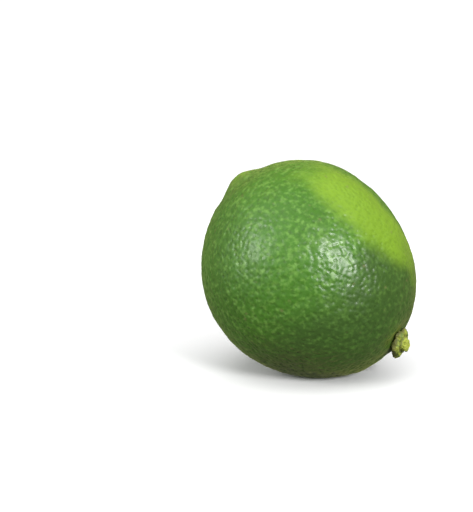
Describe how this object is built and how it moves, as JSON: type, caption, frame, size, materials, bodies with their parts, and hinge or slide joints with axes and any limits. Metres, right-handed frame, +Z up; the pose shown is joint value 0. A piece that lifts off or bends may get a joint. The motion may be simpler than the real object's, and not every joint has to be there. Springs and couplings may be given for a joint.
{
  "type": "lime",
  "caption": "Whole green lime with a blunt nipple at one end and a dry calyx with a short cut stem at the other, lying on its side on a small flat spot.",
  "frame": {"origin": "on the floor, in the flat resting spot, directly under the fruit's centre of mass", "axes": "+Z up; +X to the right, where the stem end points down; -Y to the front, towards which the stem end also turns a little"},
  "size_m": [0.0559, 0.0538, 0.0557],
  "materials": {
    "lime_skin": null,
    "dry_calyx": "dry yellow-green calyx and woody cut stem, matte"
  },
  "bodies": {
    "root": {"fruit": "lime_skin", "stem_button": "dry_calyx"}
  },
  "joints": []
}
